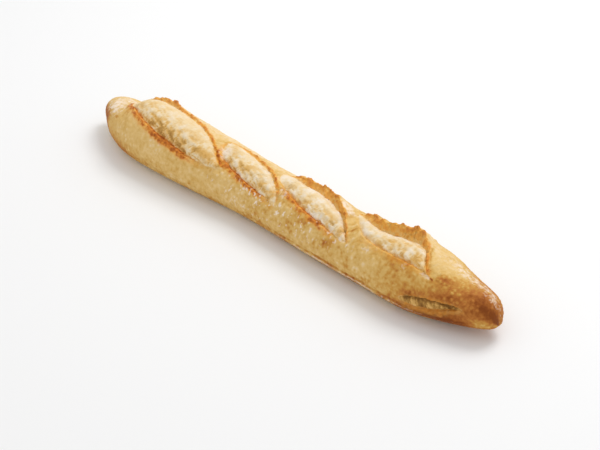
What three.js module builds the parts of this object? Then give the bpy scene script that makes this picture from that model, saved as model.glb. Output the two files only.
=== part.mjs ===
import * as THREE from 'three';

// A baguette with four opened slashes along its top and a burst low on one side.
// Millimetres, +Z up. X runs along the loaf, and each slash runs from the +Y side
// towards the -Y side as X grows. Its -Y edge is a low lip, its +Y edge a raised ear.

// The loaf
const LENGTH = 518;
const HALF_LENGTH = LENGTH / 2;
const MID_HALF_WIDTH = 31.3;
const WIDTH_TO_HEIGHT = 1.3;
const WIDEST_AT_HEIGHT_SHARE = 0.42;
const LOWER_SQUARENESS = 2.6; // exponent of the superellipse below the widest level
const BASE_CUT = 2; // how far that superellipse would reach below the flat base
const SWELLS = [
  { at: -196, rise: 5.3, spread: 128 },
  { at: -27, rise: -1.5, spread: 38 },
  { at: 181, rise: 4.9, spread: 36 },
];
const NOSE_CURVE = 1.7; // how gently the sides run into the noses
const BLUNT_NOSE = { length: 90, bluntness: 0.65, lift: 19, liftLength: 64 };
const TAPERED_NOSE = { length: 120, bluntness: 0.35, lift: 14.1, liftLength: 82 };
const LIFT_CURVE = 1.6;
const BLUNT_HOOK = { sideways: 5.8, length: 48 }; // the blunt nose bends towards +Y
const SWAY = { sideways: -1.6, from: 45, wavelength: 260 };
const LUMPS = [
  { x: -212.5, degrees: 108, rise: -7, length: 18.4, width: 55 },
  { x: 218, degrees: 115, rise: -2, length: 19.4, width: 45 },
  { x: 212, degrees: -12, rise: 1.6, length: 18, width: 10 },
];

// The slashes lie on the crust, unrolled: X along the loaf, and round it the distance
// from the ridge, positive towards +Y, at a fixed number of millimetres a degree.
const MM_PER_DEGREE = 0.55;
const RIDGE_DEGREES = 90;
const EDGE_SOFTNESS = 1.8; // width of the step from crust to crumb
const BLEND_LENGTH = 30; // length over which a soft beginning sharpens to that step
const RIM_TURN = 3; // width over which the lip turns into the ear at a slash's tips
const LIP_WIDTH = 4.5;
const TORN_EDGE = 0.7; // how far a torn edge wanders
const TORN_EAR = 0.22; // how much the height of an ear varies, as a share of it
const CRUST_TAIL = 16; // length over which lip and ear fade at a slash's ends
const LIP_VALLEY = 5; // reach of the dip inside the lip
const EAR_VALLEY = 6; // reach of the dip at the foot of the ear
const EAR_CURVE = 1.5; // how steeply the back of an ear falls away
const END_REACH = 0.35; // share of its reach that the back of an ear keeps at its end
const REACH_FADE = 0.5; // share of a slash over which that reach fades

// angle is in degrees; start and end are the lengths over which the crumb sinks in, and
// blend widens the soft edge where a slash begins. lipEnd, peakAt, drop and a tear's at
// and width are shares of the slash's length; a tear is a notch in its ear.
const SLASHES = [
  {
    x: -135, across: -5.2, angle: -12.1, length: 160, start: 26, end: 9, blend: 0, seed: 1,
    near: { bow: 20.4, skew: 0.63, fullness: 0.4 },
    far: { bow: 17.9, skew: 1.11, fullness: 1.0 },
    lip: 1.6, lipDip: 2.2, lipEnd: 0.4, earDip: 0.5, bulge: 3.2,
    ear: { height: 4.3, peakAt: 0.18, fullness: 1.3, lean: 1.0, reach: 22, drop: 0.2 },
    tear: { at: 0.41, depth: 0.6, width: 0.06 },
  },
  {
    x: -28.2, across: -11.7, angle: -24, length: 99, start: 16, end: 12, blend: 7, seed: 2,
    near: { bow: 15.5, skew: 0.48, fullness: 1.1 },
    far: { bow: 17.2, skew: 1.39, fullness: 0.4 },
    lip: 1.3, lipDip: 2.4, lipEnd: 0.35, earDip: 0.5, bulge: 2.4,
    ear: { height: 1.8, peakAt: 0.5, fullness: 0.6, lean: 0.6, reach: 18, drop: 0.25 },
    tear: { at: 0.62, depth: 0.4, width: 0.04 },
  },
  {
    x: 55, across: -8.2, angle: -18.6, length: 113, start: 18, end: 8, blend: 7, seed: 3,
    near: { bow: 14.6, skew: 0.45, fullness: 0.66 },
    far: { bow: 16.8, skew: 1.17, fullness: 0.81 },
    lip: 1.5, lipDip: 1.8, lipEnd: 0.3, earDip: 2.2, bulge: 2.6,
    ear: { height: 5.3, peakAt: 0.41, fullness: 0.4, lean: 2.0, reach: 24, drop: 0.25 },
    tear: { at: 0.54, depth: 0.24, width: 0.04 },
  },
  {
    x: 144, across: -5.0, angle: -16.7, length: 109, start: 18, end: 5, blend: 7, seed: 4,
    near: { bow: 14.7, skew: 0.69, fullness: 1.4 },
    far: { bow: 15.8, skew: 2.2, fullness: 1.4 },
    lip: 1.4, lipDip: 1.6, lipEnd: 0.15, earDip: 0.8, bulge: 2.4,
    ear: { height: 13, peakAt: 0.62, fullness: 1.2, lean: 4.6, reach: 30, drop: 0.54 },
    tear: { at: 0.24, depth: 0.3, width: 0.04 },
  },
];

// The burst is a slash low on the -Y side, with an upper lip in place of an ear.
const BURST = {
  x: 206, across: -45, angle: 12, length: 58, start: 9, end: 9, blend: 0, seed: 5,
  near: { bow: 7, skew: 0.8, fullness: 0.7 },
  far: { bow: 5, skew: 1, fullness: 0.5 },
  lip: 0.3, lipDip: 1.6, lipEnd: 0.1, earDip: 3.4, bulge: 0.4,
  ear: { height: 0.8, peakAt: 0.5, fullness: 0.8, lean: -0.8, reach: 7, drop: 0.2 },
  tear: { at: 0.5, depth: 0, width: 0.1 },
};
const OPENINGS = [...SLASHES, BURST];

// The faceted surface: rings along the loaf, crowded at the noses, with corners round
// each ring, crowded at lips and ears and sparse under the base.
const RINGS = 112;
const RING_CORNERS = 44;
const NOSE_CROWDING = 8;
const DEGREE_STEP = 0.5;
const BASE_FROM_DEGREES = -35;
const BASE_TO_DEGREES = 215;
const BASE_DENSITY = 0.35;
const LIP_DENSITY = { amount: 2.5, width: 2.2 };
const EAR_DENSITY = { amount: 2.5, perHeight: 0.7, width: 2.4 };
const OPENING_MARGIN = 4;

const CRUST_COLOUR = 0xd9b063;

const clamp01 = (t) => Math.min(Math.max(t, 0), 1);
const bell = (t) => Math.exp(-t * t);
const toRadians = THREE.MathUtils.degToRad;

// Rises from 0 to 1 with no crease at either end.
function smooth(t) {
  const s = clamp01(t);
  return s * s * s * (10 - 15 * s + 6 * s * s);
}

// A hump that is 0 at both ends of 0..1. skew moves its top, fullness squares it.
function hump(share, skew, fullness) {
  return Math.max(Math.sin(Math.PI * share ** skew), 0) ** fullness;
}

// A wandering value of about -1 to 1 along a torn edge.
function waver(share, seed) {
  const wave = (cycles, phase) => Math.sin(2 * Math.PI * (cycles * share + phase * seed));
  return 0.5 * wave(2.3, 0.37) + 0.3 * wave(5.1, 0.71) + 0.2 * wave(9.7, 0.13);
}

// The share of the loaf's full width that is left near a nose.
function noseShare(fromTip, nose) {
  const left = 1 - clamp01(fromTip / nose.length);
  return (1 - left ** NOSE_CURVE) ** nose.bluntness;
}

function halfWidth(x) {
  const swell = SWELLS.reduce((sum, s) => sum + s.rise * bell((x - s.at) / s.spread), 0);
  const noses = noseShare(HALF_LENGTH + x, BLUNT_NOSE) * noseShare(HALF_LENGTH - x, TAPERED_NOSE);
  return (MID_HALF_WIDTH + swell) * noses;
}

function noseLift(fromTip, nose) {
  return nose.lift * Math.max(0, 1 - fromTip / nose.liftLength) ** LIFT_CURVE;
}

function baseLift(x) {
  return noseLift(HALF_LENGTH + x, BLUNT_NOSE) + noseLift(HALF_LENGTH - x, TAPERED_NOSE);
}

function centreLine(x) {
  const hook = BLUNT_HOOK.sideways * Math.exp(-(x + HALF_LENGTH) / BLUNT_HOOK.length);
  const turn = (x - SWAY.from) / SWAY.wavelength;
  return hook + SWAY.sideways * Math.sin(2 * Math.PI * turn);
}

// The loaf's cross-section before it is slashed: 0 degrees is the -Y side, 90 the ridge.
// An upper half-ellipse meets a squarer lower half, which the flat base cuts off.
function sectionPoint(x, degrees) {
  const width = halfWidth(x);
  const height = (2 * width) / WIDTH_TO_HEIGHT;
  const widest = WIDEST_AT_HEIGHT_SHARE * height;
  const cos = Math.cos(toRadians(degrees));
  const sin = Math.sin(toRadians(degrees));
  const power = sin < 0 ? 2 / LOWER_SQUARENESS : 1;
  const radius = sin < 0 ? widest + BASE_CUT : height - widest;
  const y = -width * Math.sign(cos) * Math.abs(cos) ** power;
  const z = widest + radius * Math.sign(sin) * Math.abs(sin) ** power;
  return { y: y + centreLine(x), z: Math.max(z, 0) + baseLift(x) };
}

// Broad lumps and hollows of the whole loaf.
function lumpRise(x, degrees) {
  return LUMPS.reduce((sum, lump) => {
    const along = bell((x - lump.x) / lump.length);
    return sum + lump.rise * along * bell((degrees - lump.degrees) / lump.width);
  }, 0);
}

// Where a point of the crust lies in an opening: its share of the opening's length and
// its distances inside the near and the far edge, negative outside them.
function placeInOpening(opening, x, degrees) {
  const angle = toRadians(opening.angle);
  const dx = x - opening.x;
  const dv = MM_PER_DEGREE * (degrees - RIDGE_DEGREES) - opening.across;
  const along = dx * Math.cos(angle) + dv * Math.sin(angle);
  const across = dv * Math.cos(angle) - dx * Math.sin(angle);
  const share = clamp01(along / opening.length + 0.5);
  const reachOf = (edge) => edge.bow * hump(share, edge.skew, edge.fullness);
  return {
    share,
    fromStart: along + opening.length / 2,
    fromEnd: opening.length / 2 - along,
    inNear: reachOf(opening.near) + across + TORN_EDGE * waver(share, opening.seed),
    inFar: reachOf(opening.far) - across + TORN_EDGE * waver(share, opening.seed + 0.5),
  };
}

function earHeight(opening, share, fall) {
  const { height, peakAt, fullness, drop } = opening.ear;
  const { at, depth, width } = opening.tear;
  const skew = Math.log(0.5) / Math.log(peakAt);
  const ragged = 1 + TORN_EAR * fall * waver(share, opening.seed + 0.25);
  const notched = 1 - depth * bell((share - at) / width);
  return height * hump(share, skew, fullness) * ragged * notched * smooth((1 - share) / drop);
}

// The crumb: a dome that dips inside the lip and at the foot of the ear.
function crumbHeight(opening, place) {
  const inNear = Math.max(place.inNear, 0);
  const inFar = Math.max(place.inFar, 0);
  const across = inNear / Math.max(inNear + inFar, 1e-6);
  const lipDip = opening.lipDip * lipFade(opening, place) * Math.exp(-inNear / LIP_VALLEY);
  const earDip = opening.earDip * Math.exp(-inFar / EAR_VALLEY);
  const sink = smooth(place.fromStart / opening.start) * smooth(place.fromEnd / opening.end);
  return sink * (opening.bulge * Math.sin(Math.PI * across) - lipDip - earDip);
}

// The lip and the dip inside it fade towards the far end of a slash.
function lipFade(opening, place) {
  return smooth((1 - place.share) / opening.lipEnd);
}

// How far an opening moves the crust outwards (rise) and round the loaf (shift).
function openingRelief(opening, x, degrees) {
  const place = placeInOpening(opening, x, degrees);
  const within = place.fromStart > 0 && place.fromEnd > 0;
  const softness = EDGE_SOFTNESS + opening.blend * (1 - smooth(place.fromStart / BLEND_LENGTH));
  const crumb = within ? smooth(Math.min(place.inNear, place.inFar) / softness + 0.5) : 0;
  const tail = smooth(place.fromStart / CRUST_TAIL) * smooth(place.fromEnd / CRUST_TAIL);
  const turn = (RIM_TURN * softness) / EDGE_SOFTNESS;
  const farSide = 1 - smooth((place.inFar - place.inNear) / turn + 0.5);
  const widening = (1 - END_REACH) * smooth((1 - place.share) / REACH_FADE);
  const reach = opening.ear.reach * (END_REACH + widening);
  const fall = Math.max(1 - Math.max(-place.inFar, 0) / reach, 0);
  const ear = farSide * earHeight(opening, place.share, fall);
  const lipShape = lipFade(opening, place) * bell(Math.max(-place.inNear, 0) / LIP_WIDTH);
  const lip = (1 - farSide) * opening.lip * lipShape;
  const crust = (1 - crumb) * tail;
  return {
    rise: crumb * crumbHeight(opening, place) + crust * (lip + ear * fall ** EAR_CURVE),
    shift: crust * opening.ear.lean * (ear / opening.ear.height) * fall * fall,
  };
}

// A point of the finished surface: the section moved along its own normal and tangent.
function surfacePoint(x, degrees) {
  const here = sectionPoint(x, degrees);
  const before = sectionPoint(x, degrees - DEGREE_STEP / 2);
  const after = sectionPoint(x, degrees + DEGREE_STEP / 2);
  const tangent = new THREE.Vector2(after.y - before.y, after.z - before.z).normalize();
  const reliefs = OPENINGS.map((opening) => openingRelief(opening, x, degrees));
  const rise = reliefs.reduce((sum, relief) => sum + relief.rise, lumpRise(x, degrees));
  const shift = reliefs.reduce((sum, relief) => sum + relief.shift, 0);
  const y = here.y - tangent.y * rise + tangent.x * shift;
  const z = here.z + tangent.x * rise + tangent.y * shift;
  return new THREE.Vector3(x, y, Math.max(z, 0));
}

// How closely the corners of a ring stand at one place: closest along lips and ears.
function cornerDensity(x, degrees) {
  const underBase = degrees < BASE_FROM_DEGREES || degrees > BASE_TO_DEGREES;
  const edges = OPENINGS.reduce((sum, opening) => {
    const place = placeInOpening(opening, x, degrees);
    const open =
      smooth((place.fromStart + OPENING_MARGIN) / opening.start) *
      smooth((place.fromEnd + OPENING_MARGIN) / opening.end);
    const earAmount = EAR_DENSITY.amount + EAR_DENSITY.perHeight * opening.ear.height;
    const lip = LIP_DENSITY.amount * bell(place.inNear / LIP_DENSITY.width);
    return sum + open * (lip + earAmount * bell(place.inFar / EAR_DENSITY.width));
  }, 0);
  return (underBase ? BASE_DENSITY : 1) * (1 + edges);
}

// The directions of a ring's corners, from straight down, round over the ridge.
function ringDegrees(x) {
  const steps = 360 / DEGREE_STEP;
  const first = RIDGE_DEGREES - 180;
  const totals = [0];
  let last = sectionPoint(x, first);
  for (let i = 1; i <= steps; i += 1) {
    const degrees = first + i * DEGREE_STEP;
    const next = sectionPoint(x, degrees);
    const stretch = Math.hypot(next.y - last.y, next.z - last.z);
    totals.push(totals[i - 1] + stretch * cornerDensity(x, degrees - DEGREE_STEP / 2));
    last = next;
  }
  const corners = [];
  let i = 0;
  for (let corner = 0; corner < RING_CORNERS; corner += 1) {
    const wanted = (totals[steps] * corner) / RING_CORNERS;
    while (totals[i + 1] <= wanted) i += 1;
    const share = (wanted - totals[i]) / (totals[i + 1] - totals[i]);
    corners.push(first + (i + share) * DEGREE_STEP);
  }
  return corners;
}

// Ring positions from tip to tip, even along the loaf and crowded at both noses.
function ringX(index) {
  const u = (2 * index) / (RINGS + 1) - 1;
  return (HALF_LENGTH * u * (NOSE_CROWDING + 1 - Math.abs(u) ** NOSE_CROWDING)) / NOSE_CROWDING;
}

function tipPoint(x, nose) {
  return new THREE.Vector3(x, centreLine(x), nose.lift);
}

// Splits the quad a b c d into two triangles along its shorter diagonal.
function quadTriangles(points, a, b, c, d) {
  const alongAC = points[a].distanceTo(points[c]) <= points[b].distanceTo(points[d]);
  return alongAC ? [a, b, c, a, c, d] : [a, b, d, b, c, d];
}

// The loaf is closed by one point at each tip, with the rings in between.
function loafGeometry() {
  const points = [tipPoint(-HALF_LENGTH, BLUNT_NOSE)];
  for (let ring = 1; ring <= RINGS; ring += 1) {
    const x = ringX(ring);
    points.push(...ringDegrees(x).map((degrees) => surfacePoint(x, degrees)));
  }
  points.push(tipPoint(HALF_LENGTH, TAPERED_NOSE));

  const corner = (ring, k) => 1 + (ring - 1) * RING_CORNERS + (k % RING_CORNERS);
  const lastTip = points.length - 1;
  const triangles = [];
  for (let k = 0; k < RING_CORNERS; k += 1) {
    triangles.push(0, corner(1, k), corner(1, k + 1));
    for (let ring = 1; ring < RINGS; ring += 1) {
      const a = corner(ring, k);
      const b = corner(ring + 1, k);
      const c = corner(ring + 1, k + 1);
      const d = corner(ring, k + 1);
      triangles.push(...quadTriangles(points, a, b, c, d));
    }
    triangles.push(lastTip, corner(RINGS, k + 1), corner(RINGS, k));
  }

  const geometry = new THREE.BufferGeometry().setFromPoints(points);
  geometry.setIndex(triangles);
  return geometry;
}

// Centres the loaf's box on the origin, with the flat base on z = 0.
function standOnOrigin(geometry) {
  geometry.computeBoundingBox();
  const centre = geometry.boundingBox.getCenter(new THREE.Vector3());
  geometry.translate(-centre.x, -centre.y, -geometry.boundingBox.min.z);
  geometry.computeVertexNormals();
  return geometry;
}

const crust = new THREE.MeshStandardMaterial({
  color: CRUST_COLOUR,
  roughness: 0.75,
  metalness: 0,
});
const baguette = new THREE.Mesh(standOnOrigin(loafGeometry()), crust);
baguette.name = 'baguette';

const group = new THREE.Group();
group.add(baguette);

export default group;
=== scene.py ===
import math

import bpy
import numpy as np
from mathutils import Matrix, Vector, noise


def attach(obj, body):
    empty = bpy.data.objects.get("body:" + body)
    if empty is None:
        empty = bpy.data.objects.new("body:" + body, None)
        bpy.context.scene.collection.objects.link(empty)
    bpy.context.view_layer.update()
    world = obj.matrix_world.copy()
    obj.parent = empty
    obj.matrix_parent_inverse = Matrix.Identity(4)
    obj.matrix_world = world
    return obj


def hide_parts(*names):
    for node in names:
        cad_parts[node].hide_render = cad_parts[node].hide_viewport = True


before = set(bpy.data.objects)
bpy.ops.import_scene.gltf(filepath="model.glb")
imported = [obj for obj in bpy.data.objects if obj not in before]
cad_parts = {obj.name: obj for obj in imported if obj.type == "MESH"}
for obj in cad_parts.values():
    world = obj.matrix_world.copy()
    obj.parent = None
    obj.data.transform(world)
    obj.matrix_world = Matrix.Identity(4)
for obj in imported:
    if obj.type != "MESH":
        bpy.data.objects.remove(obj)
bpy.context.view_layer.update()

# A baguette with four slashes on top and a small burst low on its side. One fine mesh
# replaces the CAD solid: it is worked out from the same sizes, then gets torn crumb, ragged
# ears, browning, painted shade and light, and flour, each of them a formula of x along the
# loaf and degrees round it.

# The loaf, in millimetres: the same named sizes and formulas as the CAD solid.
LENGTH = 518
HALF_LENGTH = LENGTH / 2
MID_HALF_WIDTH = 31.3
WIDTH_TO_HEIGHT = 1.3
WIDEST_AT_HEIGHT_SHARE = 0.42
LOWER_SQUARENESS = 2.6
BASE_CUT = 2
SWELLS = [
    dict(at=-196, rise=5.3, spread=128),
    dict(at=-27, rise=-1.5, spread=38),
    dict(at=181, rise=4.9, spread=36),
]
NOSE_CURVE = 1.7
BLUNT_NOSE = dict(length=90, bluntness=0.65, lift=19, lift_length=64)
TAPERED_NOSE = dict(length=120, bluntness=0.35, lift=14.1, lift_length=82)
LIFT_CURVE = 1.6
BLUNT_HOOK = dict(sideways=5.8, length=48)
SWAY = dict(sideways=-1.6, start=45, wavelength=260)
LUMPS = [
    dict(x=-212.5, degrees=108, rise=-7, length=18.4, width=55),
    dict(x=218, degrees=115, rise=-2, length=19.4, width=45),
    dict(x=212, degrees=-12, rise=1.6, length=18, width=10),
]

# The slashes and the burst lie on the unrolled crust: X along the loaf, and round it
# the distance from the ridge, positive towards +Y.
MM_PER_DEGREE = 0.55
RIDGE_DEGREES = 90
EDGE_SOFTNESS = 1.8
RIM_TURN = 3
LIP_WIDTH = 4.5
TORN_EDGE = 0.7
TORN_EAR = 0.22
CRUST_TAIL = 16
BLEND_LENGTH = 30
LIP_VALLEY = 5
EAR_VALLEY = 6
EAR_CURVE = 1.5
END_REACH = 0.35
REACH_FADE = 0.5
OPENINGS = [
    dict(
        x=-135, across=-5.2, angle=-12.1, length=160, start=26, end=9, seed=1,
        near=dict(bow=20.4, skew=0.63, fullness=0.4),
        far=dict(bow=17.9, skew=1.11, fullness=1.0),
        lip=1.6, lip_dip=2.2, lip_end=0.4, ear_dip=0.5, bulge=3.2, blend=0,
        ear=dict(height=4.3, peak_at=0.18, fullness=1.3, lean=1.0, reach=22, drop=0.2),
        tear=dict(at=0.41, depth=0.6, width=0.06),
    ),
    dict(
        x=-28.2, across=-11.7, angle=-24, length=99, start=16, end=12, seed=2,
        near=dict(bow=15.5, skew=0.48, fullness=1.1),
        far=dict(bow=17.2, skew=1.39, fullness=0.4),
        lip=1.3, lip_dip=2.4, lip_end=0.35, ear_dip=0.5, bulge=2.4, blend=7,
        ear=dict(height=1.8, peak_at=0.5, fullness=0.6, lean=0.6, reach=18, drop=0.25),
        tear=dict(at=0.62, depth=0.4, width=0.04),
    ),
    dict(
        x=55, across=-8.2, angle=-18.6, length=113, start=18, end=8, seed=3,
        near=dict(bow=14.6, skew=0.45, fullness=0.66),
        far=dict(bow=16.8, skew=1.17, fullness=0.81),
        lip=1.5, lip_dip=1.8, lip_end=0.3, ear_dip=2.2, bulge=2.6, blend=7,
        ear=dict(height=5.3, peak_at=0.41, fullness=0.4, lean=2.0, reach=24, drop=0.25),
        tear=dict(at=0.54, depth=0.24, width=0.04),
    ),
    dict(
        x=144, across=-5.0, angle=-16.7, length=109, start=18, end=5, seed=4,
        near=dict(bow=14.7, skew=0.69, fullness=1.4),
        far=dict(bow=15.8, skew=2.2, fullness=1.4),
        lip=1.4, lip_dip=1.6, lip_end=0.15, ear_dip=0.8, bulge=2.4, blend=7,
        ear=dict(height=13, peak_at=0.62, fullness=1.2, lean=4.6, reach=30, drop=0.54),
        tear=dict(at=0.24, depth=0.3, width=0.04),
    ),
    dict(
        x=206, across=-45, angle=12, length=58, start=9, end=9, seed=5,
        near=dict(bow=7, skew=0.8, fullness=0.7),
        far=dict(bow=5, skew=1, fullness=0.5),
        lip=0.3, lip_dip=1.6, lip_end=0.1, ear_dip=3.4, bulge=0.4, blend=0,
        ear=dict(height=0.8, peak_at=0.5, fullness=0.8, lean=-0.8, reach=7, drop=0.2),
        tear=dict(at=0.5, depth=0, width=0.1),
    ),
]
# The waves of a torn edge, each its size, its number along the edge and its phase.
EDGE_WAVES = ((0.5, 2.3, 0.37), (0.3, 5.1, 0.71), (0.2, 9.7, 0.13))

# How each opening looks, as (share, amount) points along it: how torn its crumb is, how
# strong the burnt band of its lip and the torn orange wall of its ear are, how much painted
# shade darkens the crumb at the foot of the ear, and how many millimetres the ear's crest
# is raised. strings run length by width in millimetres, height high, and the width of the
# painted shade at the foot is in millimetres. tone is added to the crumb's colour, where 0
# is cream and 1 the brownest.
USUAL_LOOK = dict(
    crest_lift=((0, 0), (1, 0)),
    strings=dict(length=14, width=2.2, height=0.7),
    foot_width=1.6,
)
OPENING_LOOKS = [
    dict(
        torn=((0, 0.2), (0.2, 0.4), (0.35, 0.9), (0.5, 1), (0.72, 1), (0.85, 0.85), (1, 0.6)),
        lip_band=(
            (0, 1), (0.1, 1), (0.35, 0.9), (0.45, 1.3),
            (0.66, 1.3), (0.75, 0.8), (0.86, 0.3), (1, 0),
        ),
        ear_wall=((0, 0), (0.1, 0.3), (0.15, 0.85), (0.9, 1), (1, 0.7)),
        foot=((0, 0), (0.75, 0), (0.85, 0.5), (1, 0.5)),
        tone=0.08,
    ),
    dict(
        torn=((0, 0.5), (0.4, 1), (0.8, 1), (1, 0.6)),
        lip_band=((0, 0.5), (0.25, 0.9), (0.45, 1.1), (0.72, 1.2), (0.85, 0.6), (1, 0.2)),
        ear_wall=((0, 0.9), (0.9, 0.9), (1, 0.5)),
        foot=((0, 0.3), (1, 0.3)),
        tone=0.01,
    ),
    dict(
        torn=((0, 0.2), (0.3, 0.8), (0.6, 1), (1, 0.9)),
        lip_band=((0, 0.1), (0.15, 0.3), (0.3, 1), (0.65, 1), (0.85, 0.6), (1, 0)),
        ear_wall=((0, 0.5), (0.05, 0.9), (0.95, 0.9), (1, 0.6)),
        foot=((0, 0.1), (0.55, 0.2), (0.7, 0.8), (1, 1)),
        crest_lift=(
            (0, 0), (0.06, 1.5), (0.12, 1.5), (0.2, 0),
            (0.48, 0), (0.56, 2.5), (0.63, 2), (0.7, 0),
        ),
        tone=-0.08,
    ),
    dict(
        torn=((0, 0.1), (0.4, 0.4), (0.6, 1.2), (1, 1.4)),
        lip_band=((0, 0), (0.25, 0.1), (0.45, 0.45), (0.8, 0.6), (1, 0.3)),
        ear_wall=((0, 0.5), (0.1, 0.9), (0.95, 0.9), (1, 0.6)),
        foot=((0, 0.1), (0.7, 0.3), (0.85, 0.8), (1, 0.8)),
        crest_lift=((0, 0), (0.06, 3), (0.12, 4.5), (0.2, 4.8), (0.25, 2.4), (0.3, 1), (0.36, 0)),
        tone=-0.03,
    ),
    dict(
        torn=((0, 0.3), (1, 0.3)),
        lip_band=((0, 0.3), (1, 0.3)),
        ear_wall=((0, 0.2), (0.5, 0.4), (1, 0.2)),
        # The burst's foot darkening is painted shade under its upper lip.
        foot=((0, 0.2), (1, 0.2)),
        strings=dict(length=1.8, width=8, height=0.9),
        tone=0.52,
        foot_width=3,
    ),
]
for opening, look in zip(OPENINGS, OPENING_LOOKS):
    opening.update(USUAL_LOOK)
    opening.update(look)

# Fine relief and masks: sizes, distances and heights in millimetres, other amounts as
# shares. ABOVE_BASE and the place and width of FLECKS round the loaf are in degrees. In
# RAGGED, each size of raggedness stands with its amount.
RAGGED = ((11, 0.6), (4.7, 0.45), (2.3, 0.35))
RAGGED_CREST = dict(size=8, height=1.5, share=0.12, octaves=4)
WAVES = dict(size=26, height=0.7, octaves=3)
BLISTERS = dict(size=4.6, apart=30, share=0.45, height=0.6, paler=0.25)
SKIN = dict(size=2.6, height=0.3)
TORN = dict(everywhere=0.24, reach=17)
HILLS = dict(size=6.5, height=1.6, middle=0.25, crease=0.14, octaves=4)
STRING_SLANT = 9
PITS = dict(size=6, apart=12, stretch=0.5, slant=0.4, share=0.4, depth=1.7)
ABOVE_BASE = dict(near=-32, far=212, over=14)
CRUMB_EDGE = dict(at=1.1, over=1.2)
LIP_BAND = dict(inside=1.8, over=1, outside=2.4, width=3, end=4, uneven=0.45)
LIP_ROUGHNESS = 0.5
EAR_ROUGHNESS = 1.8
EAR_WALL = dict(inside=1.7, over=1.2, outside=0.9, width=1.7, end=3)
MOTTLED_SIZE = 3.5
BURNT = dict(ear=0.14, crest=0.42, lip=0.5, mottled=0.18, streaks=0.2)
# In TONE, the hollow, crease and foot shares are painted shade on the crumb.
TONE = dict(
    patch=8, cream=0.12, torn=0.3, palest=0, brownest=0.6,
    patchy=0.55, hollow_shade=0.5, crease=0.6, foot=0.7,
)
FLECKS = dict(
    size=2.6, upright=0.6, gain=3, least=0.12, apart=14, share=0.8, octaves=3,
    x=25, length=100, degrees=28, width=32,
)
DUST = dict(size=4, patchiness=0.7)
DARK_LINE_WANDER = dict(size=5, amount=3)

# Noise: each kind of feature has its own seed, and so has each opening.
SEED_STEP = 7.3
SEEDS = dict(
    waves=11, bubbly=12, blisters=13, skin=14, mottling=20, flecks=31, fleck_patches=32,
    dust=33, ragged=40, crest=51, mottled=52, dark_lines=61,
)
OPENING_SEEDS = dict(ear=0.25, strings=0.3, far_edge=0.5, pitted=0.6, patchy=0.8)
OCTAVES = 2
OCTAVE_FADE = 1.0
OCTAVE_RATIO = 2.0
SPOTS = dict(middle=1.3, fall=2.6)
TINY = 1e-6

# Browning of the crust, from 0 for the palest to 1 for the darkest: steps along X, and
# mottling, each its size in millimetres and its amount.
BASE_TOAST = 0.27
MOTTLING = ((22, 0.12), (8, 0.14), (3, 0.18))
CALM_ENDS = dict(left=-125, right=165, over=60, share=0.5)
TOAST_STEPS = (
    dict(at=-90, over=120, rise=0.12),
    dict(at=120, over=70, rise=0.13),
    dict(at=190, over=45, rise=0.21),
)
# Thin dark lines: brown cracks and folds, and painted shade along one fold and in the
# cracks at the end of the fourth slash. Each runs from x, degrees to x, degrees, then width
# and amount.
CRACKS_AND_SHADE_LINES = (
    # dark cracks at the right end of the fourth slash, partly painted shade
    (180, 97, 193, 60, 1.2, 0.4),
    (187, 84, 200, 51, 0.9, 0.35),
    (193, 60, 201, 48, 1.5, 0.16),
    (-201, 74, -186, 27, 3, 0.14),
    (106, 62, 112, 82, 1, 0.2),
    (100, 57, 107, 62, 1.2, 0.2),
    # painted shade of a fold
    (-84, 28, -68, 37, 1.8, 0.1),
)
# Soft oval patches, each x, degrees, half length, half width in degrees and amount.
TOAST_PATCHES = (
    (-246, 28, 20, 30, 0.4),
    (-233, 14, 9, 26, 0.28),
    (-205, 10, 25, 30, 0.08),
    (-205, -16, 60, 18, 0.36),
    (0, -30, 300, 15, 0.24),
    (-209, 74, 5, 8, 0.5),
    (-211, 38, 3, 5, 0.3),
    (88, 20, 7, 8, 0.28),
    (190, 9, 13, 12, 0.3),
    (210, 62, 7, 10, 0.3),
    (262, 52, 28, 34, 0.36),
    (236, 40, 10, 20, -0.08),
    (-254, 40, 9, 55, 0.2),
    (-202, 56, 5, 16, 0.28),
    (16, 76, 7, 12, 0.25),
    (30, 62, 6, 6, 0.25),
    (92, 88, 5, 9, 0.12),
    (-72, 100, 8, 12, 0.2),
    (205, -18, 30, 13, 0.3),
    (212, -2, 26, 12, 0.14),
    (164, 46, 20, 11, 0.12),
    (110, -14, 110, 3, 0.2),
    (192, 98, 42, 34, -0.33),
    (215, 25, 20, 18, 0.14),
    (-60, 8, 240, 36, 0.05),
    (252, -15, 12, 26, -0.25),
    (54, 36, 8, 8, 0.34),
    (36, 48, 14, 4, 0.2),
    (-66, 70, 14, 8, 0.25),
    (-60, 125, 150, 22, -0.2),
)
FLOUR_PATCHES = (
    (-226, 62, 18, 32, 0.85),
    (-215, 110, 30, 16, 0.5),
    (-65, 78, 9, 18, 0.7),
    (14, 62, 16, 10, 0.45),
    (102, 46, 11, 10, 0.5),
    (130, 48, 5, 6, 0.45),
    (173, 47, 6, 8, 0.35),
    (194, 51, 7, 7, 0.5),
    (222, 109, 38, 22, 0.58),
    (250, 92, 9, 26, 0.25),
    (77, 104, 12, 14, 0.5),
    (87, 92, 12, 14, 0.55),
    (3, 100, 10, 16, 0.4),
    (110, -21, 110, 4, 0.72),
    (-20, 2, 50, 13, 0.22),
)
# The groove and the thin rim above the base: patches whose amount is in millimetres.
RIM_RELIEF = (
    (110, -13, 120, 2.5, -0.8),
    (110, -21, 120, 4, 0.6),
)

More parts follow.
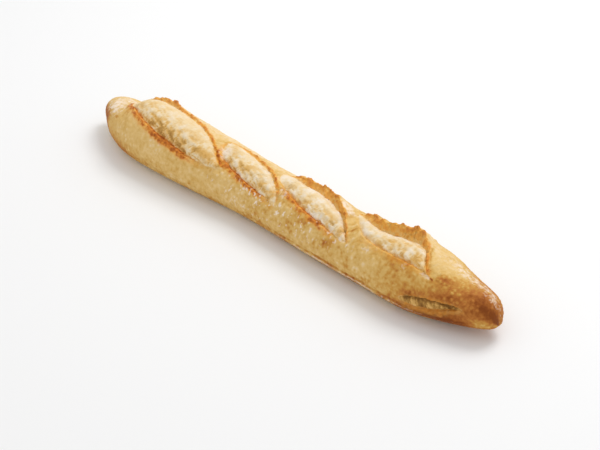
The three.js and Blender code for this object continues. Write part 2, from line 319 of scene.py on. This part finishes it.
# Colours, as linear red, green and blue
TOAST_AND_SHADE_COLOURS = (
    (0, (0.82, 0.62, 0.36)),
    (0.25, (0.755, 0.512, 0.2)),
    (0.45, (0.665, 0.415, 0.122)),
    (0.6, (0.565, 0.282, 0.055)),
    (0.75, (0.45, 0.16, 0.03)),
    (0.9, (0.31, 0.09, 0.013)),
    (1, (0.22, 0.055, 0.007)),
)
EAR_COLOURS = (
    (0, (0.84, 0.555, 0.19)),
    (0.35, (0.8, 0.375, 0.053)),
    (0.65, (0.64, 0.215, 0.03)),
    (1, (0.36, 0.095, 0.014)),
)
CRUMB_COLOURS = (
    (0, (0.84, 0.745, 0.61)),
    (0.35, (0.79, 0.6, 0.335)),
    (0.65, (0.69, 0.41, 0.125)),
    (0.85, (0.42, 0.22, 0.055)),
    (1, (0.22, 0.105, 0.024)),
)
FLOUR_COLOUR = (0.86, 0.71, 0.55)
FLOUR_COVER = dict(least=0.3, gain=1.8)
# The grain of each field: its size in millimetres, its detail and its amount.
GRAINS = dict(
    toast_and_shade=dict(size=2.2, detail=3, amount=0.14),
    burnt=dict(size=4, detail=4, amount=0.5),
    tone=dict(size=2.6, detail=4, amount=0.2),
    flour=dict(size=1.8, detail=3, amount=0.5),
)
BUMPS = dict(size=2.6, detail=4, height=0.9, strength=0.8)
CRUST_ROUGHNESS = 0.6
CRUMB_ROUGHNESS = 0.9
SHEEN_OF_CRUST = 0.12

# The fine surface: rings along the loaf, with corners crowded at lips and ears.
RINGS = 556
RING_CORNERS = 178
NOSE_CROWDING = 8
DEGREE_STEP = 0.5
BASE_FROM_DEGREES = -35
BASE_TO_DEGREES = 215
BASE_DENSITY = 0.35
LIP_DENSITY = dict(amount=1.5, width=3)
EAR_DENSITY = dict(amount=1.5, per_height=0.7, width=2.4)
OPENING_MARGIN = 14
OPENING_FADE = 28
MM = 0.001

# Floor and light in metres, camera in millimetres and degrees
FLOOR = dict(half_side=4, colour=(0.86, 0.86, 0.86), roughness=0.9)
KEY_LIGHT = dict(position=(0.05, 0.85, 1.4), size=0.8, power=11.8)
SKY_STRENGTH = 0.8
CAMERA = dict(
    azimuth=44.473, elevation=34, distance=1300, aim=(45.9, -17.9, 25), lens=85.7665, sensor=36,
)


def bell(t):
    return np.exp(-t * t)


def smooth(t):
    """Rises from 0 to 1 with no crease at either end."""
    s = np.clip(t, 0, 1)
    return s * s * s * (10 - 15 * s + 6 * s * s)


def hump(share, skew, fullness):
    """A hump that is 0 at both ends of 0..1. skew moves its top, fullness squares it."""
    return np.maximum(np.sin(np.pi * share**skew), 0) ** fullness


def waver(share, seed):
    """A wandering value of about -1 to 1 along a torn edge."""
    return sum(
        size * np.sin(2 * np.pi * (count * share + phase * seed))
        for size, count, phase in EDGE_WAVES
    )


def profile(place, points):
    """A value that changes along an opening, from (share, value) points."""
    shares, values = zip(*points)
    return np.interp(place["share"], shares, values)


# The loaf's form
def nose_share(from_tip, nose):
    """The share of the loaf's full width that is left near a nose."""
    left = 1 - np.clip(from_tip / nose["length"], 0, 1)
    return (1 - left**NOSE_CURVE) ** nose["bluntness"]


def half_width(x):
    swelling = sum(
        swell["rise"] * bell((x - swell["at"]) / swell["spread"]) for swell in SWELLS
    )
    noses = nose_share(HALF_LENGTH + x, BLUNT_NOSE) * nose_share(HALF_LENGTH - x, TAPERED_NOSE)
    return (MID_HALF_WIDTH + swelling) * noses


def nose_lift(from_tip, nose):
    return nose["lift"] * np.maximum(0, 1 - from_tip / nose["lift_length"]) ** LIFT_CURVE


def base_lift(x):
    return nose_lift(HALF_LENGTH + x, BLUNT_NOSE) + nose_lift(HALF_LENGTH - x, TAPERED_NOSE)


def centre_line(x):
    hook = BLUNT_HOOK["sideways"] * np.exp(-(x + HALF_LENGTH) / BLUNT_HOOK["length"])
    turn = (x - SWAY["start"]) / SWAY["wavelength"]
    return hook + SWAY["sideways"] * np.sin(2 * np.pi * turn)


def section_point(x, degrees):
    """(y, z) of the loaf's cross-section before it is slashed. 90 degrees is the ridge."""
    width = half_width(x)
    height = 2 * width / WIDTH_TO_HEIGHT
    widest = WIDEST_AT_HEIGHT_SHARE * height
    cos, sin = np.cos(np.radians(degrees)), np.sin(np.radians(degrees))
    power = np.where(sin < 0, 2 / LOWER_SQUARENESS, 1)
    radius = np.where(sin < 0, widest + BASE_CUT, height - widest)
    y = -width * np.sign(cos) * np.abs(cos) ** power + centre_line(x)
    z = widest + radius * np.sign(sin) * np.abs(sin) ** power
    return y, np.maximum(z, 0) + base_lift(x)


def lump_rise(x, degrees):
    """Broad lumps and hollows of the whole loaf."""
    rise = 0
    for lump in LUMPS:
        along = bell((x - lump["x"]) / lump["length"])
        rise = rise + lump["rise"] * along * bell((degrees - lump["degrees"]) / lump["width"])
    return rise


# The slashes and the burst
def place_in_opening(opening, x, degrees):
    """A point's share of the opening's length, and its distances inside the two edges."""
    angle = math.radians(opening["angle"])
    dx = x - opening["x"]
    around = MM_PER_DEGREE * (degrees - RIDGE_DEGREES) - opening["across"]
    along = dx * math.cos(angle) + around * math.sin(angle)
    across = around * math.cos(angle) - dx * math.sin(angle)
    share = np.clip(along / opening["length"] + 0.5, 0, 1)
    near, far, seed = opening["near"], opening["far"], opening["seed"]
    near_reach = near["bow"] * hump(share, near["skew"], near["fullness"])
    far_reach = far["bow"] * hump(share, far["skew"], far["fullness"])
    return dict(
        share=share,
        along=along,
        across=across,
        from_start=along + opening["length"] / 2,
        from_end=opening["length"] / 2 - along,
        in_near=near_reach + across + TORN_EDGE * waver(share, seed),
        in_far=far_reach - across + TORN_EDGE * waver(share, seed + OPENING_SEEDS["far_edge"]),
    )


def crest_height(opening, share, fall):
    """The height of the ear's crest, which its tear and its torn edge make uneven."""
    ear, tear = opening["ear"], opening["tear"]
    skew = math.log(0.5) / math.log(ear["peak_at"])
    torn = 1 + TORN_EAR * fall * waver(share, opening["seed"] + OPENING_SEEDS["ear"])
    torn = torn * (1 - tear["depth"] * bell((share - tear["at"]) / tear["width"]))
    height = ear["height"] * hump(share, skew, ear["fullness"])
    return height * torn * smooth((1 - share) / ear["drop"])


def ear_form(opening, place, crest):
    """The ear's height, and its fall from 1 at the crest to 0 at the back of the ear."""
    widening = (1 - END_REACH) * smooth((1 - place["share"]) / REACH_FADE)
    reach = opening["ear"]["reach"] * (END_REACH + widening)
    fall = np.maximum(1 - np.maximum(-place["in_far"], 0) / reach, 0)
    crest = crest * (RAGGED_CREST["share"] + RAGGED_CREST["height"] / opening["ear"]["height"])
    height = crest_height(opening, place["share"], fall)
    height = height + profile(place, opening["crest_lift"])
    return place["far_side"] * height * (1 + crest * fall), fall


def lip_height(opening, place):
    beside = bell(np.maximum(-place["in_near"], 0) / LIP_WIDTH)
    return (1 - place["far_side"]) * opening["lip"] * place["lip_fade"] * beside


def crumb_height(opening, place):
    """The crumb: a dome that dips inside the lip and at the foot of the ear."""
    in_near = np.maximum(place["in_near"], 0)
    in_far = np.maximum(place["in_far"], 0)
    across = in_near / np.maximum(in_near + in_far, TINY)
    dips = opening["lip_dip"] * place["lip_fade"] * np.exp(-in_near / LIP_VALLEY)
    dips = dips + opening["ear_dip"] * np.exp(-in_far / EAR_VALLEY)
    sink = smooth(place["from_start"] / opening["start"])
    sink = sink * smooth(place["from_end"] / opening["end"])
    return sink * (opening["bulge"] * np.sin(np.pi * across) - dips)


def split_opening(opening, place):
    """Adds the masks of the crumb, of the ear's side and of the lip's end to a place."""
    within = (place["from_start"] > 0) & (place["from_end"] > 0)
    softness = EDGE_SOFTNESS + opening["blend"] * (1 - smooth(place["from_start"] / BLEND_LENGTH))
    edge = np.minimum(place["in_near"], place["in_far"]) / softness
    turn = RIM_TURN * softness / EDGE_SOFTNESS
    place["crumb"] = np.where(within, smooth(edge + 0.5), 0)
    place["far_side"] = 1 - smooth((place["in_far"] - place["in_near"]) / turn + 0.5)
    place["lip_fade"] = smooth((1 - place["share"]) / opening["lip_end"])


def opening_relief(opening, place, crest):
    """How far an opening moves the crust outwards (rise) and round the loaf (shift)."""
    split_opening(opening, place)
    ear, fall = ear_form(opening, place, crest)
    tail = smooth(place["from_start"] / CRUST_TAIL) * smooth(place["from_end"] / CRUST_TAIL)
    crust = (1 - place["crumb"]) * tail
    edges = crust * (lip_height(opening, place) + ear * fall**EAR_CURVE)
    lean = opening["ear"]["lean"] * (ear / opening["ear"]["height"]) * fall * fall
    return dict(
        rise=place["crumb"] * crumb_height(opening, place) + edges,
        shift=crust * lean,
    )


# The rings of the fine surface
def corner_density(x, degrees):
    """How closely the corners of a ring stand at one place: closest along lips and ears."""
    edges = 0
    for opening in OPENINGS:
        place = place_in_opening(opening, x, degrees)
        start = smooth((place["from_start"] + OPENING_MARGIN) / OPENING_FADE)
        end = smooth((place["from_end"] + OPENING_MARGIN) / OPENING_FADE)
        ear_amount = EAR_DENSITY["amount"] + EAR_DENSITY["per_height"] * opening["ear"]["height"]
        lip = LIP_DENSITY["amount"] * bell(place["in_near"] / LIP_DENSITY["width"])
        ear = ear_amount * bell(place["in_far"] / EAR_DENSITY["width"])
        edges = edges + start * end * (lip + ear)
    under_base = (degrees < BASE_FROM_DEGREES) | (degrees > BASE_TO_DEGREES)
    return np.where(under_base, BASE_DENSITY, 1) * (1 + edges)


def ring_degrees(x):
    """The directions of each ring's corners, from straight down, round over the ridge."""
    steps = RIDGE_DEGREES - 180 + DEGREE_STEP * np.arange(round(360 / DEGREE_STEP) + 1)
    y, z = section_point(x[:, None], steps[None, :])
    stretch = np.hypot(np.diff(y), np.diff(z))
    middles = (steps[1:] + steps[:-1]) / 2
    weights = stretch * corner_density(x[:, None], middles[None, :])
    totals = np.concatenate([np.zeros((len(x), 1)), np.cumsum(weights, axis=1)], axis=1)
    wanted = np.arange(RING_CORNERS) / RING_CORNERS
    return np.array([np.interp(wanted, total / total[-1], steps) for total in totals])


def ring_x():
    """Ring positions from tip to tip, even along the loaf and crowded at both noses."""
    u = 2 * np.arange(1, RINGS + 1) / (RINGS + 1) - 1
    return HALF_LENGTH * u * (NOSE_CROWDING + 1 - np.abs(u) ** NOSE_CROWDING) / NOSE_CROWDING


def surface_points(x, degrees, ragged, crest):
    """The surface and each point's place in every opening. ragged moves the torn edges
    round the loaf, in degrees, and crest is how ragged the ears' crests are, from -1 to 1."""
    y, z = section_point(x, degrees)
    y_before, z_before = section_point(x, degrees - DEGREE_STEP / 2)
    y_after, z_after = section_point(x, degrees + DEGREE_STEP / 2)
    tangent_y, tangent_z = y_after - y_before, z_after - z_before
    length = np.hypot(tangent_y, tangent_z)
    tangent_y, tangent_z = tangent_y / length, tangent_z / length
    places = [place_in_opening(opening, x, degrees + ragged) for opening in OPENINGS]
    reliefs = [opening_relief(opening, place, crest) for opening, place in zip(OPENINGS, places)]
    rise = sum(relief["rise"] for relief in reliefs) + lump_rise(x, degrees)
    shift = sum(relief["shift"] for relief in reliefs)
    y = y - tangent_z * rise + tangent_y * shift
    z = z + tangent_y * rise + tangent_z * shift
    return np.stack([x, y, np.maximum(z, 0)], axis=-1), places


# Noise and patches
def seeded(places, size, seed):
    """Places in noise space, where features of the given size are 1 apart."""
    return (places / size + np.array([0, 0, SEED_STEP * seed])).reshape(-1, 3).tolist()


def cloud(places, size, seed, octaves=OCTAVES):
    """Cloudy noise of about -1 to 1, in clouds of the given size in millimetres."""
    points = seeded(places, size, seed)
    values = [noise.fractal(point, OCTAVE_FADE, OCTAVE_RATIO, octaves) for point in points]
    return np.array(values).reshape(places.shape[:-1])


def spots(places, size, seed):
    """1 in the middle of scattered round spots of the given size, 0 outside them."""
    distances = [noise.voronoi(point)[0][0] for point in seeded(places, size, seed)]
    distances = np.array(distances).reshape(places.shape[:-1])
    return smooth(SPOTS["middle"] - SPOTS["fall"] * distances)


def flat(along, across):
    return np.stack([along, across, 0 * along], axis=-1)


def patch_sum(patches, x, degrees):
    """Soft oval patches, each a tuple: x, degrees, half length, half width in degrees, amount."""
    return sum(
        amount * bell((x - at) / length) * bell((degrees - round_at) / width)
        for at, round_at, length, width, amount in patches
    )


def crack_and_shade_sum(x, degrees):
    """The masks of the cracks, folds and painted shade lines, each as strong as its amount
    along the middle of its line.
    """
    total = 0
    for x_from, degrees_from, x_to, degrees_to, width, amount in CRACKS_AND_SHADE_LINES:
        run, rise = x_to - x_from, MM_PER_DEGREE * (degrees_to - degrees_from)
        dx, around = x - x_from, MM_PER_DEGREE * (degrees - degrees_from)
        share = np.clip((dx * run + around * rise) / (run * run + rise * rise), 0, 1)
        away = np.hypot(dx - share * run, around - share * rise)
        total = total + amount * bell(away / width)
    return total


# The torn crumb
def torn_amount(opening, place):
    """How torn the crumb is: most beside the lip, least at the crest by the ear."""
    beside_lip = bell(np.maximum(place["in_near"], 0) / TORN["reach"])
    return np.clip(TORN["everywhere"] + beside_lip * profile(place, opening["torn"]), 0, 1)


def crumb_relief(opening, place, torn):
    """Hills with creases between them, strings and pits of torn crumb: the relief in
    millimetres, and painted shade, above 0 in pits and creases and below 0 on the strings,
    which are painted lighter."""
    along, across, seed = place["along"], place["across"], opening["seed"]
    here = flat(along, across)
    hills = np.abs(cloud(here, HILLS["size"], seed, HILLS["octaves"]))
    creases = 1 - smooth(hills / HILLS["crease"])
    strands = opening["strings"]
    slanted = flat(along / strands["length"] + across / STRING_SLANT, across / strands["width"])
    strings = strands["height"] * cloud(slanted, 1, seed + OPENING_SEEDS["strings"])
    pitted = cloud(here, PITS["apart"], seed + OPENING_SEEDS["pitted"]) + PITS["share"] * torn
    leaning = flat(along * PITS["stretch"] + across * PITS["slant"], across)
    pits = smooth(pitted) * spots(leaning, PITS["size"], seed)
    relief = HILLS["height"] * (hills - HILLS["middle"]) + strings - PITS["depth"] * pits
    # The second value is painted shade: darker in pits and creases, lighter on the strings.
    return torn * relief, pits + TONE["crease"] * creases - strings


def crumb_tone(opening, place, torn, painted_relief_shade):
    """0 for cream crumb, 1 for the brownest. Besides its own browning, it carries painted
    shade in pits, creases and at the foot of the ear, and painted light on the strings.
    """
    here = flat(place["along"], place["across"])
    patchy = cloud(here, TONE["patch"], opening["seed"] + OPENING_SEEDS["patchy"])
    browner = TONE["patchy"] * patchy + TONE["hollow_shade"] * painted_relief_shade
    brown = torn * np.clip(TONE["torn"] + browner, TONE["palest"], TONE["brownest"])
    # Painted shade: the crumb is darkened along the foot of the ear, where it meets the ear.
    foot = bell(place["in_far"] / opening["foot_width"]) * profile(place, opening["foot"])
    return TONE["cream"] + brown + opening["tone"] + TONE["foot"] * foot


def crumb_mask(place):
    """Where the colour is the crumb's: inside both edges, below the rim of the crust."""
    inside = np.minimum(place["in_near"] - CRUMB_EDGE["at"], place["in_far"])
    return place["crumb"] * smooth(inside / CRUMB_EDGE["over"] + 0.5)


# Lips and ears
def edge_band(place, outside, band):
    """A band along an opening's edge: 1 from a little inside it to a little outside it."""
    across = smooth((outside + band["inside"]) / band["over"])
    across = across * bell(np.maximum(outside - band["outside"], 0) / band["width"])
    start = smooth(place["from_start"] / band["end"] + 1)
    return across * start * smooth(place["from_end"] / band["end"] + 1)


def torn_edges(opening, place, mottled):
    """Masks of the burnt band of the lip and of the torn wall and crest of the ear."""
    lip = (1 - place["far_side"]) * edge_band(place, -place["in_near"], LIP_BAND)
    lip = lip * (1 + LIP_BAND["uneven"] * mottled)
    ear = place["far_side"] * edge_band(place, -place["in_far"], EAR_WALL)
    return lip * profile(place, opening["lip_band"]), ear * profile(place, opening["ear_wall"])


def opening_fields(opening, place, mottled):
    """What one opening adds to the relief and to the masks."""
    torn = torn_amount(opening, place)
    relief, painted_relief_shade = crumb_relief(opening, place, torn)
    lip, ear = torn_edges(opening, place, mottled)
    rough = (LIP_ROUGHNESS * lip + EAR_ROUGHNESS * ear) * mottled
    crest = smooth((EAR_WALL["outside"] - place["in_far"]) / EAR_WALL["width"])
    ear_burnt = BURNT["crest"] * crest + BURNT["streaks"] * mottled
    return dict(
        relief=place["crumb"] * relief + rough,
        inside=place["crumb"],
        crumb=crumb_mask(place),
        tone=place["crumb"] * crumb_tone(opening, place, torn, painted_relief_shade),
        lip=lip,
        ear=ear,
        burnt=lip * BURNT["lip"] + ear * ear_burnt,
    )


# The crust
def crust_relief(skin):
    """Broad waves, small blisters and the fine skin of the crust, in millimetres."""
    broad = WAVES["height"] * cloud(skin, WAVES["size"], SEEDS["waves"], WAVES["octaves"])
    bubbly = smooth(cloud(skin, BLISTERS["apart"], SEEDS["bubbly"]) + BLISTERS["share"])
    blisters = bubbly * spots(skin, BLISTERS["size"], SEEDS["blisters"])
    fine = SKIN["height"] * cloud(skin, SKIN["size"], SEEDS["skin"])
    return dict(height=broad + BLISTERS["height"] * blisters + fine, blisters=blisters)


def above_base(degrees):
    """1 on the crust, 0 on the flat base and close above it."""
    near = smooth((degrees - ABOVE_BASE["near"]) / ABOVE_BASE["over"])
    return near * smooth((ABOVE_BASE["far"] - degrees) / ABOVE_BASE["over"])


def crust_toast_and_shade(skin, degrees, blisters):
    """0 for the palest crust, 1 for the brownest; its dark lines add painted shade."""
    x = skin[..., 0]
    wander = DARK_LINE_WANDER["amount"] * cloud(skin, DARK_LINE_WANDER["size"], SEEDS["dark_lines"])
    toast_and_shade = BASE_TOAST + patch_sum(TOAST_PATCHES, x, degrees) + crack_and_shade_sum(x + wander, degrees)
    toast_and_shade = toast_and_shade + sum(
        step["rise"] * smooth((x - step["at"]) / step["over"]) for step in TOAST_STEPS
    )
    mottling = sum(
        amount * cloud(skin, size, SEEDS["mottling"] + size) for size, amount in MOTTLING
    )
    left_end = smooth((CALM_ENDS["left"] - x) / CALM_ENDS["over"])
    right_end = smooth((x - CALM_ENDS["right"]) / CALM_ENDS["over"])
    lively = 1 - CALM_ENDS["share"] * (left_end + right_end)
    return toast_and_shade + lively * mottling - BLISTERS["paler"] * blisters


def flour_field(skin, degrees):
    """Patches and flecks of flour, from 0 for none to 1 for a full cover."""
    x = skin[..., 0]
    tall = skin * np.array([1, FLECKS["upright"], FLECKS["upright"]])
    flecks = cloud(tall, FLECKS["size"], SEEDS["flecks"], FLECKS["octaves"]) - FLECKS["least"]
    flecky = smooth(cloud(skin, FLECKS["apart"], SEEDS["fleck_patches"]) + FLECKS["share"])
    near_side = bell((x - FLECKS["x"]) / FLECKS["length"])
    near_side = near_side * bell((degrees - FLECKS["degrees"]) / FLECKS["width"])
    flecks = near_side * smooth(FLECKS["gain"] * flecks) * flecky
    patchy = 1 + DUST["patchiness"] * cloud(skin, DUST["size"], SEEDS["dust"])
    return patch_sum(FLOUR_PATCHES, x, degrees) * patchy + flecks


# The fine mesh
def loaf_fields(x, degrees):
    """The finished points and the masks that colour them."""
    skin = np.stack([x, *section_point(x, degrees)], axis=-1)
    ragged = sum(amount * cloud(skin, size, SEEDS["ragged"] + size) for size, amount in RAGGED)
    along = flat(x, 0 * x)
    crest = cloud(along, RAGGED_CREST["size"], SEEDS["crest"], RAGGED_CREST["octaves"])
    points, places = surface_points(x, degrees, ragged / MM_PER_DEGREE, crest)
    mottled = cloud(points, MOTTLED_SIZE, SEEDS["mottled"])
    parts = [opening_fields(opening, place, mottled) for opening, place in zip(OPENINGS, places)]
    total = {name: sum(part[name] for part in parts) for name in parts[0]}
    crust = crust_relief(skin)
    relief = (1 - total["inside"]) * crust["height"] + total["relief"]
    relief = relief * above_base(degrees) + patch_sum(RIM_RELIEF, x, degrees)
    points = points + grid_normals(points) * relief[..., None]
    points[..., 2] = np.maximum(points[..., 2], 0)
    return points, dict(
        crumb=total["crumb"],
        tone=total["tone"],
        torn=total["lip"] + total["ear"],
        burnt=BURNT["ear"] + BURNT["mottled"] * mottled + total["burnt"],
        toast_and_shade=crust_toast_and_shade(skin, degrees, crust["blisters"]),
        flour=flour_field(skin, degrees) * (1 - np.clip(total["ear"], 0, 1)),
    )


def grid_normals(points):
    along = np.gradient(points, axis=0)
    around = np.roll(points, -1, axis=1) - np.roll(points, 1, axis=1)
    normals = np.cross(along, around)
    return normals / np.linalg.norm(normals, axis=-1, keepdims=True)


def add_tips(ring_points):
    """The rings' points and then both tips, centred across the loaf."""
    tips = np.array([
        [-HALF_LENGTH, centre_line(-HALF_LENGTH), BLUNT_NOSE["lift"]],
        [HALF_LENGTH, centre_line(HALF_LENGTH), TAPERED_NOSE["lift"]],
    ])
    points = np.concatenate([ring_points.reshape(-1, 3), tips])
    points[:, 1] -= (points[:, 1].max() + points[:, 1].min()) / 2
    return points


def loaf_faces():
    """Four-sided faces between the rings, then a fan of triangles round each tip."""
    corner = np.arange(RING_CORNERS)
    after = (corner + 1) % RING_CORNERS
    ring = np.arange(RINGS - 1)[:, None] * RING_CORNERS
    next_ring = ring + RING_CORNERS
    quads = [ring + corner, next_ring + corner, next_ring + after, ring + after]
    end = (RINGS - 1) * RING_CORNERS
    left_tip = np.full(RING_CORNERS, RINGS * RING_CORNERS)
    left_fan = [left_tip, corner, after]
    right_fan = [left_tip + 1, end + after, end + corner]
    return (
        np.stack(quads, axis=-1).reshape(-1, 4).tolist()
        + np.stack(left_fan, axis=1).tolist()
        + np.stack(right_fan, axis=1).tolist()
    )


def bake_place(face_ring, ring, corner):
    """A mesh corner on the bake map, which holds the loaf's two halves one above the other."""
    half_rings = RINGS // 2
    right = (face_ring >= half_rings) + 0 * corner
    across = (ring - right * half_rings + 1) / (half_rings + 2)
    up = (right + (corner + 1) / (RING_CORNERS + 2)) / 2
    return np.stack([across + 0 * up, up + 0 * across], axis=-1)


def bake_map():
    """The bake map's place of every corner of every face, in the order of loaf_faces."""
    ring = np.arange(RINGS - 1)[:, None]
    corner = np.arange(RING_CORNERS)
    steps = ((0, 0), (1, 0), (1, 1), (0, 1))
    quads = np.stack(
        [bake_place(ring, ring + rings_on, corner + corners_on) for rings_on, corners_on in steps],
        axis=2,
    )
    end = RINGS - 1
    left = [bake_place(0, -1, corner), bake_place(0, 0, corner), bake_place(0, 0, corner + 1)]
    right = [
        bake_place(end, end + 1, corner),
        bake_place(end, end, corner + 1),
        bake_place(end, end, corner),
    ]
    fans = np.concatenate([np.stack(left, axis=1), np.stack(right, axis=1)])
    return np.concatenate([quads.reshape(-1, 2), fans.reshape(-1, 2)])


def build_loaf():
    """The fine mesh with its masks. Each tip takes its values from the ring beside it."""
    rings = ring_x()
    x = np.repeat(rings[:, None], RING_CORNERS, axis=1)
    points, fields = loaf_fields(x, ring_degrees(rings))
    mesh = bpy.data.meshes.new("loaf")
    mesh.from_pydata((add_tips(points) * MM).tolist(), [], loaf_faces())
    for name, values in fields.items():
        attribute = mesh.attributes.new(name, "FLOAT", "POINT")
        values = np.append(values, [values[0, 0], values[-1, 0]])
        attribute.data.foreach_set("value", values.astype(np.float32))
    uv = mesh.uv_layers.new(name="OFBake")
    uv.data.foreach_set("uv", bake_map().astype(np.float32).ravel())
    mesh.shade_smooth()
    loaf = bpy.data.objects.new("loaf", mesh)
    bpy.context.scene.collection.objects.link(loaf)
    return loaf


# Material
def add_node(tree, kind, **settings):
    node = tree.nodes.new(kind)
    for name, value in settings.items():
        setattr(node, name, value)
    return node


def mesh_field(tree, name):
    return add_node(tree, "ShaderNodeAttribute", attribute_name=name).outputs["Fac"]


def grain(tree, look):
    """Noise of 0 to 1 in grains of the given size, fixed to the loaf."""
    place = tree.nodes.new("ShaderNodeTexCoord")
    texture = tree.nodes.new("ShaderNodeTexNoise")
    texture.inputs["Scale"].default_value = 1 / (look["size"] * MM)
    texture.inputs["Detail"].default_value = look["detail"]
    tree.links.new(place.outputs["Object"], texture.inputs["Vector"])
    return texture.outputs["Fac"]


def math_node(tree, operation, first, second, clamp=False):
    node = add_node(tree, "ShaderNodeMath", operation=operation, use_clamp=clamp)
    for socket, value in zip(node.inputs, (first, second)):
        if isinstance(value, (int, float)):
            socket.default_value = value
        else:
            tree.links.new(value, socket)
    return node.outputs[0]


def grained_field(tree, name):
    """A field of the mesh plus its own grain, centred on 0."""
    centred = math_node(tree, "SUBTRACT", grain(tree, GRAINS[name]), 0.5)
    grained = math_node(tree, "MULTIPLY", centred, 2 * GRAINS[name]["amount"])
    return math_node(tree, "ADD", mesh_field(tree, name), grained)


def ramp(tree, value, stops):
    node = tree.nodes.new("ShaderNodeValToRGB")
    elements = node.color_ramp.elements
    while len(elements) < len(stops):
        elements.new(0.5)
    for element, (position, colour) in zip(elements, stops):
        element.position = position
        element.color = (*colour, 1)
    tree.links.new(value, node.inputs["Fac"])
    return node.outputs["Color"]


def blend(tree, share, below, above):
    node = add_node(tree, "ShaderNodeMix", data_type="RGBA")
    tree.links.new(share, node.inputs["Factor"])
    for socket, value in ((node.inputs["A"], below), (node.inputs["B"], above)):
        if isinstance(value, tuple):
            socket.default_value = (*value, 1)
        else:
            tree.links.new(value, socket)
    return node.outputs["Result"]


def flour_share(tree):
    """How much of the crust the flour hides: nothing, grains or all of it."""
    dust = math_node(tree, "SUBTRACT", grained_field(tree, "flour"), FLOUR_COVER["least"])
    return math_node(tree, "MULTIPLY", dust, FLOUR_COVER["gain"], clamp=True)


def bread_colour(tree, crumb):
    """Crust or crumb, each with the painted shade its field carries, then the torn lips and
    ears, then the flour on top.
    """
    crust_colour = ramp(tree, grained_field(tree, "toast_and_shade"), TOAST_AND_SHADE_COLOURS)
    crumb_colour = ramp(tree, grained_field(tree, "tone"), CRUMB_COLOURS)
    ear_colour = ramp(tree, grained_field(tree, "burnt"), EAR_COLOURS)
    colour = blend(tree, crumb, crust_colour, crumb_colour)
    colour = blend(tree, mesh_field(tree, "torn"), colour, ear_colour)
    return blend(tree, flour_share(tree), colour, FLOUR_COLOUR)


def add_bumps(tree, shader):
    bump = tree.nodes.new("ShaderNodeBump")
    bump.inputs["Strength"].default_value = BUMPS["strength"]
    bump.inputs["Distance"].default_value = BUMPS["height"] * MM
    tree.links.new(grain(tree, BUMPS), bump.inputs["Height"])
    tree.links.new(bump.outputs["Normal"], shader.inputs["Normal"])


def bread_material():
    material = bpy.data.materials.new("bread")
    material.use_nodes = True
    tree = material.node_tree
    shader = tree.nodes["Principled BSDF"]
    crumb = mesh_field(tree, "crumb")
    tree.links.new(bread_colour(tree, crumb), shader.inputs["Base Color"])
    rougher = math_node(tree, "MULTIPLY", crumb, CRUMB_ROUGHNESS - CRUST_ROUGHNESS)
    roughness = math_node(tree, "ADD", rougher, CRUST_ROUGHNESS)
    tree.links.new(roughness, shader.inputs["Roughness"])
    shader.inputs["Specular IOR Level"].default_value = SHEEN_OF_CRUST
    add_bumps(tree, shader)
    return material


# Floor, light and camera
def add_floor():
    half = FLOOR["half_side"]
    corners = [(-half, -half, 0), (half, -half, 0), (half, half, 0), (-half, half, 0)]
    mesh = bpy.data.meshes.new("floor")
    mesh.from_pydata(corners, [], [(0, 1, 2, 3)])
    floor = bpy.data.objects.new("floor", mesh)
    bpy.context.scene.collection.objects.link(floor)
    paint = bpy.data.materials.new("floor_paint")
    paint.use_nodes = True
    shader = paint.node_tree.nodes["Principled BSDF"]
    shader.inputs["Base Color"].default_value = (*FLOOR["colour"], 1)
    shader.inputs["Roughness"].default_value = FLOOR["roughness"]
    floor.data.materials.append(paint)


def add_key_light():
    lamp = bpy.data.lights.new("key", "AREA")
    lamp.size = KEY_LIGHT["size"]
    lamp.energy = KEY_LIGHT["power"]
    light = bpy.data.objects.new("key", lamp)
    light.location = KEY_LIGHT["position"]
    light.rotation_euler = (-Vector(KEY_LIGHT["position"])).to_track_quat("-Z", "Y").to_euler()
    bpy.context.scene.collection.objects.link(light)


def add_world():
    world = bpy.data.worlds.new("studio")
    world.use_nodes = True
    background = world.node_tree.nodes["Background"]
    background.inputs["Color"].default_value = (1, 1, 1, 1)
    background.inputs["Strength"].default_value = SKY_STRENGTH
    bpy.context.scene.world = world


def add_camera():
    azimuth, elevation = math.radians(CAMERA["azimuth"]), math.radians(CAMERA["elevation"])
    level = math.cos(elevation)
    back = Vector((math.sin(azimuth) * level, -math.cos(azimuth) * level, math.sin(elevation)))
    camera = bpy.data.objects.new("camera", bpy.data.cameras.new("camera"))
    camera.data.lens = CAMERA["lens"]
    camera.data.sensor_width = CAMERA["sensor"]
    camera.location = (Vector(CAMERA["aim"]) + back * CAMERA["distance"]) * MM
    camera.rotation_euler = back.to_track_quat("Z", "Y").to_euler()
    bpy.context.scene.collection.objects.link(camera)
    bpy.context.scene.camera = camera


loaf = build_loaf()
loaf.data.materials.append(bread_material())
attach(loaf, "root")
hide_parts("baguette")

add_floor()
add_world()
add_key_light()
add_camera()
bpy.context.scene.view_settings.view_transform = "Standard"
